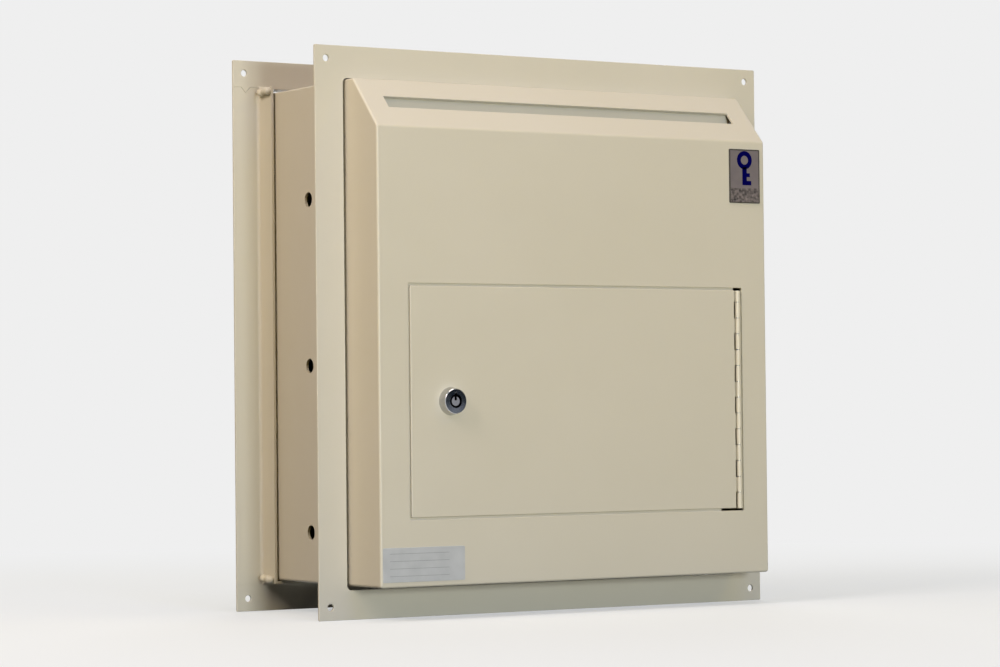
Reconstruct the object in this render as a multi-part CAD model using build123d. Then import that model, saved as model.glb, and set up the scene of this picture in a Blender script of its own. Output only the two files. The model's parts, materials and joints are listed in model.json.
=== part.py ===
from build123d import *

import math
import os

# Through-the-wall key drop box. Lengths are in millimetres.
# X runs to the right as seen from the street, Y runs into the wall, Z is up.
# The origin is the centre of the front screw pattern, on the wall side of the front flange.

# Box: a folded shell that runs from the hood, through the wall, to the rear panel
BOX_WIDTH = 361.0
BOX_HEIGHT = 385.0
BOX_REACH = 180.0            # from the wall side of the front flange to the box's rear face
SHEET = 2.0                  # steel sheet of the box and of its doors
FOLD_RADIUS = 1.0            # inside radius of a fold in that sheet
LOWER_FOLD_RADIUS = 0.3      # inside radius of the two long lower folds
COVER_EDGE_RADIUS = 1.6      # ground and softened rim of the front cover
EDGE_SOFTENING = 0.4         # radius of a cut edge under its paint

# Hood: the part of the box in front of the front flange
HOOD_DEPTH = 47.0
HOOD_TOP_DEPTH = 11.3        # level part of its top, before the slope
SLOPE_DROP = 38.5            # height that the slope takes off the front face

# Deposit slot, measured along the slope
SLOT_SIDE_MARGIN = 19.2      # from the box's sides to the slot's ends
SLOT_OPENING = 12.2
SLOT_FROM_TOP = 19.2         # from the upper end of the slope to the slot

# Front flange and the collar behind it
FLANGE_SIDE_BORDER = 26.5    # how far both flanges stand out beyond the box, left and right
FLANGE_END_BORDER = 25.5     # the same above and below
FLANGE_SHEET = 2.0
FLANGE_CORNER_RADIUS = 1.0
SCREW_HOLE = 5.3             # diameter
SCREW_HOLE_SOFTENING = 0.5   # rounding of its rim on the face seen from the street
SCREW_INSET = 10.0           # from both edges of a flange to the hole's centre
FLANGE_SIDE_GAP = 2.2        # between the box and the flange, left and right
FLANGE_TOP_GAP = 1.0         # the same above
FLANGE_BOTTOM_GAP = 3.2      # the same below
FLANGE_OPENING_RADIUS = 4.0
COLLAR_SHEET = 2.0
COLLAR_DEPTH = 20.0

# Weld beads between the collar and the box
WELD_RADIUS = 3.0
WELD_LENGTH = 30.0
WELD_PITCH = 130.0
WELDS_PER_SIDE = 3

# Ring on the room side of the wall, free to slide along the box
WALL_THICKNESS = 131.0       # wall between the two flanges, with the ring at rest
RING_SIDE_CLEARANCE = 1.8    # between the box and the ring, left and right
RING_TOP_CLEARANCE = 2.5     # the same above
RING_BOTTOM_CLEARANCE = 0.5  # the same below
RING_SHEET = 2.0
RING_FOLD_RADIUS = 2.5       # inside radius between flange and collar
RING_COLLAR_DEPTH = 21.3     # forward of the ring's flange
RING_SEAM = 0.4              # width of the groove between an upright and a rail
RING_SEAM_DEPTH = 0.8        # the rest of the seam is closed
RING_SEAM_RISE = 1.0         # seam, beyond the outside of the collar
TOOTH_WIDTH = 7.2            # locating tooth of the top rail, in a notch of the upright
TOOTH_DEPTH = 4.5
TOOTH_INSET = 11.2           # from the flange's outer edge to the tooth's middle
RING_WELD_RADIUS = 3.4
RING_WELD_INSET = 3.6        # from the collar's upper or lower face to the bead's axis
RING_WELD_END = 0.8          # collar left bare at each end of a bead

# Holes in the sides of the box, for screws into the wall studs
SIDE_HOLE = 11.5             # diameter
SIDE_HOLE_PITCH = 129.0
SIDE_HOLE_FROM_BOTTOM = 39.0
SIDE_HOLE_Y = 57.5
SIDE_HOLES = 3

# Door: the same one in the front cover and, turned round, in the rear panel
DOOR_FROM_LEFT = 27.5        # from the box's outside to the door's free edge
DOOR_FROM_RIGHT = 31.3       # from the box's outside to the door's hinged edge
DOOR_FROM_BOTTOM = 51.95
DOOR_HEIGHT = 174.7
DOOR_GAP = 1.8               # free edge, top and bottom
DOOR_CORNER_RADIUS = 1.0
DOOR_EDGE_RADIUS = 0.8       # rounding of the door's outer edges
OPENING_CORNER_RADIUS = 1.0
STOP_LAP = 9.0               # how far the stop reaches in behind the door's edge
STOP_LAND = 12.0             # how far it reaches out behind the panel round the door
STOP_SHEET = 2.0
PAN_SHEET = 1.5
PAN_DEPTH = 12.0
PAN_CLEARANCE = 3.0          # between the pan and the stop
PAN_EDGE_RADIUS = 1.4

# Continuous hinge
KNUCKLE_PITCH = 12.7
KNUCKLE_GAP = 0.7            # between neighbouring knuckles
HINGE_SHEET = 1.0
HINGE_PIN = 2.2              # diameter
HINGE_RUNNING_FIT = 0.05     # radial, in the knuckles that turn
HINGE_TOP_TRIM = 0.4         # hinge shorter than the door at the top
LEAF_WIDTH = 17.0            # from the pin's axis
LEAF_NOTCH = 0.5             # between a leaf and the other leaf's knuckles
LEAF_CLEARANCE = 0.4         # between a leaf's edges and the stop
HINGE_DOOR_GAP = 1.55        # between the barrel and the door's edge
HINGE_PANEL_GAP = 1.55       # between the barrel and the panel round the door

# Tubular cam lock
LOCK_FROM_EDGE = 35.5        # from the door's free edge to the lock's axis
LOCK_BASE = 21.6             # diameter of the collar where it meets the door
LOCK_FACE = 19.2             # diameter of its face
LOCK_FACE_BEVEL = 0.5
LOCK_HEAD = 7.0              # how far it stands out
LOCK_THREAD = 18.8           # diameter
LOCK_HOLE_CLEARANCE = 0.2    # radial, in the door
LOCK_LENGTH = 22.0           # threaded part, under the collar
LOCK_LIP = 4.0               # depth of the face in front of the plug
KEYWAY = 10.4                # diameter of the ring-shaped keyway
KEYWAY_NOTCH = 2.2           # width of its notch at the top
KEYWAY_NOTCH_RISE = 2.0
POST = 7.0                   # diameter of the post in its middle
POST_RECESS = 0.4
POST_NOTCH = 2.0             # width
POST_NOTCH_DEPTH = 2.9
PLUG = 12.0                  # diameter
PLUG_RUNNING_FIT = 0.05      # radial
NUT_ACROSS_FLATS = 27.0
NUT_THICKNESS = 4.0
CAM_SHEET = 2.0
CAM_WIDTH = 16.0
CAM_STANDOFF = 0.2           # between the lock's body and the cam
CAM_LAP = 3.5                # how far the locked cam reaches past the strike
TAIL_SQUARE = 8.0
TAIL_RECESS = 0.2            # tail shorter than the cam's far face
SCREW_SHANK = 4.0            # diameter
SCREW_LENGTH = 9.0
SCREW_HEAD = 11.0            # diameter
SCREW_HEAD_HEIGHT = 2.8
SCREW_SLOT = 1.2
STRIKE_SHEET = 2.0
STRIKE_HEIGHT = 44.0
STRIKE_SETBACK = 1.0         # strike, behind the edge of the opening
STRIKE_CLEARANCE = 0.6       # between the strike and the locked cam

# Chute behind the slot
CHUTE_SHEET = 1.5
CHUTE_SIDE_GAP = 0.5         # between the front plate and the box's sides
BACK_PLATE_SIDE_GAP = 8.5    # between the back plate and the box's sides
BACK_PLATE_STANDOFF = 2.4    # back plate, behind the slot's upper edge
BACK_PLATE_HEIGHT = 48.0
BACK_PLATE_FLANGE = 12.0     # along the underside of the slope
FRONT_PLATE_START = 19.0     # front plate's upper end, below the foot of the slope
FRONT_PLATE_RUN = 47.0
FRONT_PLATE_DROP = 50.0
FRONT_PLATE_FLANGE = 15.0

# Plates on the front face
BADGE_WIDTH = 30.0
BADGE_HEIGHT = 43.4
BADGE_THICKNESS = 1.0
BADGE_CORNER_RADIUS = 0.8
BADGE_FROM_RIGHT = 5.0       # from the box's edges
BADGE_FROM_SLOPE = 6.4
LABEL_WIDTH = 71.8
LABEL_HEIGHT = 25.9
LABEL_THICKNESS = 0.3
LABEL_CORNER_RADIUS = 1.0
LABEL_FROM_LEFT = 1.9
LABEL_FROM_BOTTOM = 4.1

CUT_OVERRUN = 1.0            # how far a cutter runs past the face that it opens
TOUCH = 0.01                 # closer than this counts as touching

# Places that follow from the sizes above
half_width = BOX_WIDTH / 2
half_height = BOX_HEIGHT / 2
inner_half_width = half_width - SHEET
inner_half_height = half_height - SHEET
lower_corner_radius = LOWER_FOLD_RADIUS + SHEET
front_y = -(FLANGE_SHEET + HOOD_DEPTH)
slope_top_y = -(FLANGE_SHEET + HOOD_TOP_DEPTH)
slope_bottom_z = half_height - SLOPE_DROP
slope_length = math.hypot(slope_top_y - front_y, SLOPE_DROP)
slope_angle = math.degrees(math.atan2(SLOPE_DROP, slope_top_y - front_y))
slot_width = BOX_WIDTH - 2 * SLOT_SIDE_MARGIN
slope_way = Vector(slope_top_y - front_y, SLOPE_DROP).normalized()

flange_half_width = half_width + FLANGE_SIDE_BORDER
flange_half_height = half_height + FLANGE_END_BORDER

door_left = -half_width + DOOR_FROM_LEFT
door_right = half_width - DOOR_FROM_RIGHT
door_bottom = -half_height + DOOR_FROM_BOTTOM
door_top = door_bottom + DOOR_HEIGHT

knuckle_radius = HINGE_PIN / 2 + HINGE_RUNNING_FIT + HINGE_SHEET
hinge_x = door_right + HINGE_DOOR_GAP + knuckle_radius
hinge_y = SHEET + HINGE_SHEET - knuckle_radius
leaf_start = knuckle_radius + LEAF_NOTCH

opening_left = door_left - DOOR_GAP
opening_right = hinge_x + knuckle_radius + HINGE_PANEL_GAP
opening_bottom = door_bottom - DOOR_GAP
opening_top = door_top + DOOR_GAP

lock_x = door_left + LOCK_FROM_EDGE
lock_z = (door_bottom + door_top) / 2
cam_y = LOCK_LENGTH + CAM_STANDOFF
strike_x = opening_left - STRIKE_SETBACK
cam_length = lock_x - strike_x + STRIKE_SHEET + CAM_LAP

ring_half_width = half_width + RING_SIDE_CLEARANCE + RING_SHEET
ring_half_height = half_height + (RING_TOP_CLEARANCE + RING_BOTTOM_CLEARANCE) / 2 + RING_SHEET
ring_lift = (RING_TOP_CLEARANCE - RING_BOTTOM_CLEARANCE) / 2
seam_z = ring_half_height + RING_SEAM_RISE


def block(x_span, y_span, z_span):
    """A box given by its two limits along each axis."""
    spans = (x_span, y_span, z_span)
    middle = [(low + high) / 2 for low, high in spans]
    return Pos(*middle) * Box(*[high - low for low, high in spans])


def along_y(face, y_from, y_to):
    """Extrude a section drawn in X and Z from one Y to another."""
    return extrude(Plane.XZ.offset(-y_from) * face, amount=y_from - y_to)


def rod_along_y(diameter, x, z, y_from, y_to):
    """A round bar parallel to Y."""
    return along_y(Pos(x, z) * Circle(diameter / 2), y_from, y_to)


def right_of(way):
    """The unit vector to the right of a direction in the plane."""
    return Vector(way.Y, -way.X)


def run_directions(points):
    """Unit vectors along the runs of a path."""
    return [(Vector(*b) - Vector(*a)).normalized() for a, b in zip(points, points[1:])]


def offset_path(points, distance):
    """An open path moved sideways, to the right of the way it runs."""
    normals = [right_of(way) for way in run_directions(points)]
    moved = [Vector(*points[0]) + normals[0] * distance]
    for before, after, point in zip(normals, normals[1:], points[1:-1]):
        mitre = (before + after) * (distance / (1 + before.dot(after)))
        moved.append(Vector(*point) + mitre)
    moved.append(Vector(*points[-1]) + normals[-1] * distance)
    return [(point.X, point.Y) for point in moved]


def rounded_path(points, radii):
    """A path with an arc of its own radius at each corner."""
    return FilletPolyline(*points, radius=radii)


def fold_radii(points, sheet, inside_radius):
    """Corner radii of a folded sheet: those on the drawn path and those on its right side."""
    ways = run_directions(points)
    turns_right = [after.dot(right_of(before)) > 0 for before, after in zip(ways, ways[1:])]
    outside_radius = inside_radius + sheet
    drawn = [outside_radius if turn else inside_radius for turn in turns_right]
    other = [inside_radius if turn else outside_radius for turn in turns_right]
    return drawn, other


def folded_section(points, sheet, inside_radius):
    """Section of a folded sheet that lies to the right of a path."""
    drawn_radii, other_radii = fold_radii(points, sheet, inside_radius)
    drawn = rounded_path(points, drawn_radii)
    other = rounded_path(offset_path(points, sheet), other_radii)
    ends = [Line(drawn @ 0, other @ 0), Line(drawn @ 1, other @ 1)]
    return make_face([*drawn.edges(), *other.edges(), *ends])


def rectangle(x_span, z_span, radius=0.0):
    """A rectangle in the plane given by its limits, with rounded corners if a radius is given."""
    width = x_span[1] - x_span[0]
    height = z_span[1] - z_span[0]
    shape = RectangleRounded(width, height, radius) if radius else Rectangle(width, height)
    return Pos(sum(x_span) / 2, sum(z_span) / 2) * shape


def across_x(face, half):
    """Extrude a section drawn in Y and Z to both sides of the middle plane."""
    return extrude(Plane.YZ * face, amount=half, both=True)


# The box

def cover_path():
    """Outer line of the front cover: up the front face, up the slope, back along the top."""
    return [
        (front_y, -half_height),
        (front_y, slope_bottom_z),
        (slope_top_y, half_height),
        (BOX_REACH, half_height),
    ]


def door_opening(y_from, y_to):
    """The hole for a door, in the frame of that door."""
    face = rectangle((opening_left, opening_right), (opening_bottom, opening_top), OPENING_CORNER_RADIUS)
    return along_y(face, y_from, y_to)


def slot_middle():
    """Centre of the slot on the outer face of the slope."""
    along = slope_way * (SLOT_FROM_TOP + SLOT_OPENING / 2)
    return Vector(0, slope_top_y - along.X, half_height - along.Y)


def deposit_slot():
    """The cutter for the slot, square to the slope."""
    cutter = Box(slot_width, SLOT_OPENING, 4 * SHEET)
    return Pos(slot_middle()) * Rot(slope_angle, 0, 0) * cutter


def rim_edges(cover):
    """Edges round the outer face of the cover, except the one at the rear."""
    line = Plane.YZ * rounded_path(cover_path(), fold_radii(cover_path(), SHEET, FOLD_RADIUS)[0])
    rim = []
    for edge in cover.edges():
        middle = edge @ 0.5
        crosses = abs((edge % 0.5).X) > 1 - TOUCH and middle.Z > TOUCH - half_height
        if not crosses and line.distance_to(Vector(0, middle.Y, middle.Z)) < TOUCH:
            rim.append(edge)
    return rim


def cut_softly(panel, cutter, outer_face):
    """Cut an opening and round its edge where it meets the panel's outer face."""
    panel -= cutter
    edge_middles = [(edge, edge @ 0.5) for edge in panel.edges()]
    rim = [
        edge
        for edge, middle in edge_middles
        if cutter.distance_to(middle) < TOUCH and outer_face.distance_to(middle) < TOUCH
    ]
    return fillet(rim, EDGE_SOFTENING)


def front_cover():
    """Front face, slope and top, folded from one sheet, with the door opening and the slot."""
    cover = across_x(folded_section(cover_path(), SHEET, FOLD_RADIUS), half_width)
    foot = cover.edges().filter_by(Axis.Y).sort_by(Axis.Z)[:2]
    cover = fillet(foot, lower_corner_radius)
    cover = fillet(rim_edges(cover), COVER_EDGE_RADIUS)
    front_face = cover.faces().sort_by(Axis.Y)[0]
    slope_face = cover.faces().sort_by(lambda face: face.distance_to(slot_middle()))[0]
    cover = cut_softly(cover, door_opening(front_y - SHEET, front_y + 2 * SHEET), front_face)
    return cut_softly(cover, deposit_slot(), slope_face)


def body_wrap():
    """Left side, bottom and right side, folded from one sheet; its upper edges follow the cover."""
    path = [
        (half_width, half_height),
        (half_width, -half_height),
        (-half_width, -half_height),
        (-half_width, half_height),
    ]
    section = folded_section(path, SHEET, LOWER_FOLD_RADIUS)
    wrap = along_y(section, front_y + SHEET, BOX_REACH)
    inner = offset_path(cover_path(), SHEET)
    radii = fold_radii(cover_path(), SHEET, FOLD_RADIUS)[1]
    inside = make_face([
        *rounded_path(inner, radii).edges(),
        Line(inner[-1], (BOX_REACH, -half_height)),
        Line((BOX_REACH, -half_height), inner[0]),
    ])
    wrap = wrap & across_x(inside, half_width)
    for index in range(SIDE_HOLES):
        z = -half_height + SIDE_HOLE_FROM_BOTTOM + SIDE_HOLE_PITCH * index
        wrap -= Pos(0, SIDE_HOLE_Y, z) * Rot(0, 90, 0) * Cylinder(SIDE_HOLE / 2, BOX_WIDTH + SHEET)
    return wrap


def rear_panel():
    """The box's rear wall, let in flush between the sides, with the rear door's opening."""
    face = rectangle((-inner_half_width, inner_half_width), (-inner_half_height, inner_half_height))
    panel = along_y(face, BOX_REACH - SHEET, BOX_REACH)
    low = panel.edges().filter_by(Axis.Y).sort_by(Axis.Z)[:2]
    panel = fillet(low, LOWER_FOLD_RADIUS)
    rear_face = panel.faces().sort_by(Axis.Y)[-1]
    return cut_softly(panel, rear_place * door_opening(-SHEET, 2 * SHEET), rear_face)


def chute_back_plate():
    """Upright plate close behind the slot: turns a deposit downwards and keeps fingers out."""
    plate_y = slope_top_y - slope_way.X * SLOT_FROM_TOP + SHEET * slope_way.Y + BACK_PLATE_STANDOFF
    under_slope = (Vector(slope_top_y, half_height) + right_of(slope_way) * SHEET)
    rise = (plate_y - under_slope.X) / slope_way.X
    corner = under_slope + slope_way * rise
    flange_end = corner + slope_way * BACK_PLATE_FLANGE
    path = [
        (plate_y, corner.Y - BACK_PLATE_HEIGHT),
        (plate_y, corner.Y),
        (flange_end.X, flange_end.Y),
    ]
    section = folded_section(path, CHUTE_SHEET, FOLD_RADIUS)
    return across_x(section, inner_half_width - BACK_PLATE_SIDE_GAP)


def chute_front_plate():
    """Plate under the slot that carries a deposit back over the front door."""
    inner_front = front_y + SHEET
    top_z = slope_bottom_z - FRONT_PLATE_START
    path = [
        (inner_front + FRONT_PLATE_RUN, top_z - FRONT_PLATE_DROP),
        (inner_front, top_z),
        (inner_front, top_z + FRONT_PLATE_FLANGE),
    ]
    return across_x(folded_section(path, CHUTE_SHEET, FOLD_RADIUS), inner_half_width - CHUTE_SIDE_GAP)


# The front flange

def screw_holes(y_from, y_to, rows=(-1, 1)):
    """Cutters for the corner holes of a flange."""
    x = flange_half_width - SCREW_INSET
    z = flange_half_height - SCREW_INSET
    return [rod_along_y(SCREW_HOLE, side * x, row * z, y_from, y_to) for side in (-1, 1) for row in rows]


def drill(flange, y, rows=(-1, 1)):
    """Corner holes in a flange whose street side is at the given Y, with rounded rims on that side."""
    flange -= screw_holes(y - CUT_OVERRUN, y + FLANGE_SHEET + CUT_OVERRUN, rows)
    circles = flange.edges().filter_by(GeomType.CIRCLE)
    holes = [edge for edge in circles if abs(edge.radius - SCREW_HOLE / 2) < TOUCH]
    return fillet([edge for edge in holes if abs(edge.arc_center.Y - y) < TOUCH], SCREW_HOLE_SOFTENING)


def collar_outline(extra=0.0):
    """The flange's inner opening, moved outwards by a distance."""
    x = half_width + FLANGE_SIDE_GAP + extra
    low = -half_height - FLANGE_BOTTOM_GAP - extra
    high = half_height + FLANGE_TOP_GAP + extra
    return rectangle((-x, x), (low, high), FLANGE_OPENING_RADIUS + extra)


def outline_edges(flange, y):
    """Edges of a flange's outline at one Y."""
    x_limit = flange_half_width - FLANGE_CORNER_RADIUS
    z_limit = flange_half_height - FLANGE_CORNER_RADIUS
    middles = [(edge, edge @ 0.5) for edge in flange.edges()]
    return [
        edge
        for edge, middle in middles
        if abs(middle.Y - y) < TOUCH and (abs(middle.X) > x_limit or abs(middle.Z) > z_limit)
    ]


def front_flange():
    """Flat plate on the street side of the wall, with four corner holes and a collar round the box."""
    x_span = (-flange_half_width, flange_half_width)
    z_span = (-flange_half_height, flange_half_height)
    plate = rectangle(x_span, z_span, FLANGE_CORNER_RADIUS) - collar_outline()
    flange = along_y(plate, -FLANGE_SHEET, 0)
    flange = fillet(outline_edges(flange, -FLANGE_SHEET) + outline_edges(flange, 0), EDGE_SOFTENING)
    flange = drill(flange, -FLANGE_SHEET)
    return flange + along_y(collar_outline(COLLAR_SHEET) - collar_outline(), 0, COLLAR_DEPTH)


def flange_welds(flange):
    """Beads that join the rear edge of the flange's collar to the box."""
    side_x = half_width + FLANGE_SIDE_GAP / 2
    end_z = (half_height + FLANGE_TOP_GAP / 2, -half_height - FLANGE_BOTTOM_GAP / 2)
    upright = Cylinder(WELD_RADIUS, WELD_LENGTH)
    level = Rot(0, 90, 0) * upright
    beads = []
    for index in range(WELDS_PER_SIDE):
        along = WELD_PITCH * (index - (WELDS_PER_SIDE - 1) / 2)
        beads += [Pos(side * side_x, COLLAR_DEPTH, along) * upright for side in (-1, 1)]
        beads += [Pos(along, COLLAR_DEPTH, z) * level for z in end_z]
    y_span = (0, 2 * COLLAR_DEPTH)
    box_body = block((-half_width, half_width), y_span, (-half_height, half_height))
    return Compound([solid for bead in beads for solid in (bead - flange - box_body).solids()])


# The sliding ring, drawn level with the flange and then lifted into place

def rail_tooth(side, grow=0.0):
    """Triangle of a locating tooth, widened for its notch."""
    x = side * (flange_half_width - TOOTH_INSET)
    half = TOOTH_WIDTH / 2 + grow
    points = [(x - half, seam_z), (x + half, seam_z)]
    return Polyline(*points, (x, seam_z - TOOTH_DEPTH - grow), close=True)


def ring_rail(end):
    """Top rail (end 1) or bottom rail (end -1): flange across the full width, collar over the box."""
    outer = end * flange_half_height
    inner = end * ring_half_height
    path = [
        (WALL_THICKNESS, outer),
        (WALL_THICKNESS, inner),
        (WALL_THICKNESS - RING_COLLAR_DEPTH, inner),
    ]
    if end > 0:
        path = path[::-1]
    section = folded_section(path, RING_SHEET, RING_FOLD_RADIUS)
    rail = across_x(section, ring_half_width)
    low, high = sorted((end * seam_z, outer))
    for side in (-1, 1):
        x_span = sorted((side * ring_half_width, side * flange_half_width))
        tab = rectangle(x_span, (low, high))
        if end > 0:
            tab += make_face(rail_tooth(side))
        rail += along_y(tab, WALL_THICKNESS, WALL_THICKNESS + RING_SHEET)
    uprights = rail.edges().filter_by(Axis.Y).sort_by(lambda edge: edge.center().Z * end)[-2:]
    rail = fillet(uprights, FLANGE_CORNER_RADIUS)
    back = WALL_THICKNESS + RING_SHEET
    rail = fillet(outline_edges(rail, WALL_THICKNESS) + outline_edges(rail, back), EDGE_SOFTENING)
    return drill(rail, WALL_THICKNESS, (end,))


def ring_upright(side):
    """Left (side -1) or right (side 1) upright: flange and collar, between the two rails."""
    outer = side * flange_half_width
    inner = side * ring_half_width
    path = [
        (outer, WALL_THICKNESS),
        (inner, WALL_THICKNESS),
        (inner, WALL_THICKNESS - RING_COLLAR_DEPTH),
    ]
    if side < 0:
        path = path[::-1]
    section = folded_section(path, RING_SHEET, RING_FOLD_RADIUS)
    collar_top = ring_half_height - RING_SHEET
    upright = extrude(section, amount=collar_top, both=True)
    x_span = sorted((inner, outer))
    back = WALL_THICKNESS + RING_SHEET
    upright += along_y(rectangle(x_span, (-seam_z, seam_z)), WALL_THICKNESS, back)
    upright = fillet(outline_edges(upright, WALL_THICKNESS) + outline_edges(upright, back), EDGE_SOFTENING)
    groove_z = (seam_z - RING_SEAM, seam_z + CUT_OVERRUN)
    groove = rectangle(x_span, groove_z) + rectangle(x_span, (-groove_z[1], -groove_z[0]))
    groove += make_face(rail_tooth(side, RING_SEAM))
    upright -= along_y(groove, WALL_THICKNESS - CUT_OVERRUN, WALL_THICKNESS + RING_SEAM_DEPTH)
    return upright - along_y(make_face(rail_tooth(side)), WALL_THICKNESS - CUT_OVERRUN, back + CUT_OVERRUN)


def ring_welds(neighbours):
    """Beads that close the four corners of the ring's collar."""
    start = WALL_THICKNESS - RING_COLLAR_DEPTH + RING_WELD_END
    finish = WALL_THICKNESS - RING_FOLD_RADIUS - RING_WELD_END
    corner_z = ring_half_height - RING_SHEET
    bead_z = ring_half_height - RING_WELD_INSET
    beads = [
        rod_along_y(2 * RING_WELD_RADIUS, side * ring_half_width, end * bead_z, start, finish)
        for side in (-1, 1)
        for end in (-1, 1)
    ]
    inside = block((-ring_half_width, ring_half_width), (start, finish), (-corner_z, corner_z))
    return Compound([solid for bead in beads for solid in (bead - neighbours - inside).solids()])


# A door and its fittings, in a frame whose Y is 0 on the outer face and grows inwards

def door_panel():
    """Flat door panel with the lock's hole."""
    face = rectangle((door_left, door_right), (door_bottom, door_top), DOOR_CORNER_RADIUS)
    panel = along_y(face, 0, SHEET)
    panel = fillet(panel.faces().sort_by(Axis.Y)[0].edges(), DOOR_EDGE_RADIUS)
    return panel - lock_hole()


def lock_hole():
    """Cutter for the lock's body."""
    diameter = LOCK_THREAD + 2 * LOCK_HOLE_CLEARANCE
    return rod_along_y(diameter, lock_x, lock_z, -SHEET, SHEET + PAN_DEPTH)


def door_pan():
    """Stiffening tray behind the panel, with turned-in edges."""
    inset = STOP_LAP + PAN_CLEARANCE
    x_span = (door_left + inset, hinge_x - LEAF_WIDTH - PAN_CLEARANCE)
    z_span = (door_bottom + inset, door_top - inset)
    tray = block(x_span, (SHEET, SHEET + PAN_DEPTH), z_span)
    base = tray.faces().sort_by(Axis.Y)[0]
    tray = fillet(base.edges(), PAN_EDGE_RADIUS)
    hollow_x = (x_span[0] + PAN_SHEET, x_span[1] - PAN_SHEET)
    hollow_z = (z_span[0] + PAN_SHEET, z_span[1] - PAN_SHEET)
    tray -= block(hollow_x, (SHEET + PAN_SHEET, 2 * SHEET + PAN_DEPTH), hollow_z)
    return tray - lock_hole()


def door_stop():
    """Frame behind the free edge, top and bottom of the opening, that the door closes on."""
    left = opening_left - STOP_LAND
    leaf_edge = hinge_x - LEAF_WIDTH - LEAF_CLEARANCE
    above_leaf = door_top - HINGE_TOP_TRIM + LEAF_CLEARANCE
    low = (opening_bottom - STOP_LAND, door_bottom + STOP_LAP)
    high = (door_top - STOP_LAP, opening_top + STOP_LAND)
    face = rectangle((left, door_left + STOP_LAP), (low[0], high[1]))
    face += rectangle((left, leaf_edge), low)
    face += rectangle((left, leaf_edge), high)
    face += rectangle((left, door_right), (above_leaf, high[1]))
    return along_y(face, SHEET, SHEET + STOP_SHEET)


def lock_strike():
    """Angle behind the free edge that the locked cam catches."""
    foot_y = SHEET + STOP_SHEET
    path = [
        (strike_x, cam_y - STRIKE_CLEARANCE),
        (strike_x, foot_y),
        (opening_left - STOP_LAND, foot_y),
    ]
    section = folded_section(path, STRIKE_SHEET, FOLD_RADIUS)
    return Pos(0, 0, lock_z) * extrude(section, amount=STRIKE_HEIGHT / 2, both=True)


def hinge_leaf(side, first):
    """A leaf with every second knuckle: side 1 is on the panel round the door, side -1 on the door."""
    bottom = door_bottom
    top = door_top - HINGE_TOP_TRIM
    leaf_y = (SHEET, SHEET + HINGE_SHEET)
    near, far = hinge_x + side * leaf_start, hinge_x + side * LEAF_WIDTH
    leaf = block(sorted((near, far)), leaf_y, (bottom, top))
    fit = HINGE_RUNNING_FIT if side < 0 else 0.0
    bore = Pos(hinge_x, hinge_y, (bottom + top) / 2) * Cylinder(HINGE_PIN / 2 + fit, 2 * (top - bottom))
    count = math.ceil((top - bottom) / KNUCKLE_PITCH)
    for index in range(first, count, 2):
        low = bottom + KNUCKLE_PITCH * index + (KNUCKLE_GAP / 2 if index else 0)
        high = min(bottom + KNUCKLE_PITCH * (index + 1) - KNUCKLE_GAP / 2, top)
        barrel = Pos(hinge_x, hinge_y, (low + high) / 2) * Cylinder(knuckle_radius, high - low)
        web = block(sorted((hinge_x, near)), leaf_y, (low, high))
        leaf += barrel + web
    return leaf - bore


def hinge_pin():
    """Pin through all the knuckles."""
    length = DOOR_HEIGHT - HINGE_TOP_TRIM
    return Pos(hinge_x, hinge_y, door_bottom + length / 2) * Cylinder(HINGE_PIN / 2, length)


def lock_housing():
    """Tapered collar and threaded body, bored for the plug."""
    profile = [
        (0, 0),
        (LOCK_BASE / 2, 0),
        (LOCK_FACE / 2, LOCK_FACE_BEVEL - LOCK_HEAD),
        (LOCK_FACE / 2 - LOCK_FACE_BEVEL, -LOCK_HEAD),
        (0, -LOCK_HEAD),
    ]
    head = revolve(make_face(Polyline(*profile, close=True)), Axis.Y)
    head = Pos(lock_x, 0, lock_z) * head
    body = rod_along_y(LOCK_THREAD, lock_x, lock_z, 0, LOCK_LENGTH)
    mouth = rod_along_y(KEYWAY, lock_x, lock_z, -LOCK_HEAD - CUT_OVERRUN, 0)
    notch_x = (lock_x - KEYWAY_NOTCH / 2, lock_x + KEYWAY_NOTCH / 2)
    notch_z = (lock_z, lock_z + KEYWAY / 2 + KEYWAY_NOTCH_RISE)
    mouth += block(notch_x, (-LOCK_HEAD - CUT_OVERRUN, LOCK_LIP - LOCK_HEAD), notch_z)
    bore = PLUG + 2 * PLUG_RUNNING_FIT
    seat = rod_along_y(bore, lock_x, lock_z, LOCK_LIP - LOCK_HEAD, LOCK_LENGTH + CUT_OVERRUN)
    return head + body - mouth - seat


def lock_nut():
    """Hexagon nut that clamps the lock in the door and pan."""
    face = Pos(lock_x, lock_z) * RegularPolygon(NUT_ACROSS_FLATS / 2, 6, major_radius=False)
    start = SHEET + PAN_SHEET
    nut = along_y(face, start, start + NUT_THICKNESS)
    return nut - rod_along_y(LOCK_THREAD, lock_x, lock_z, 0, LOCK_LENGTH)


def lock_plug():
    """Turning core: post in the keyway, body, square tail with a tapped hole."""
    shoulder = LOCK_LIP - LOCK_HEAD + PLUG_RUNNING_FIT
    tail_end = cam_y + CAM_SHEET - TAIL_RECESS
    plug = rod_along_y(PLUG, lock_x, lock_z, shoulder, LOCK_LENGTH)
    plug += rod_along_y(POST, lock_x, lock_z, POST_RECESS - LOCK_HEAD, shoulder)
    notch_z = (lock_z + POST / 2 - POST_NOTCH_DEPTH, lock_z + POST)
    notch_x = (lock_x - POST_NOTCH / 2, lock_x + POST_NOTCH / 2)
    plug -= block(notch_x, (-LOCK_HEAD, shoulder), notch_z)
    tail = Pos(lock_x, lock_z) * Rectangle(TAIL_SQUARE, TAIL_SQUARE)
    plug += along_y(tail, LOCK_LENGTH, tail_end)
    screw_end = cam_y + CAM_SHEET - SCREW_LENGTH
    return plug - rod_along_y(SCREW_SHANK, lock_x, lock_z, screw_end, tail_end + CUT_OVERRUN)


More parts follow.
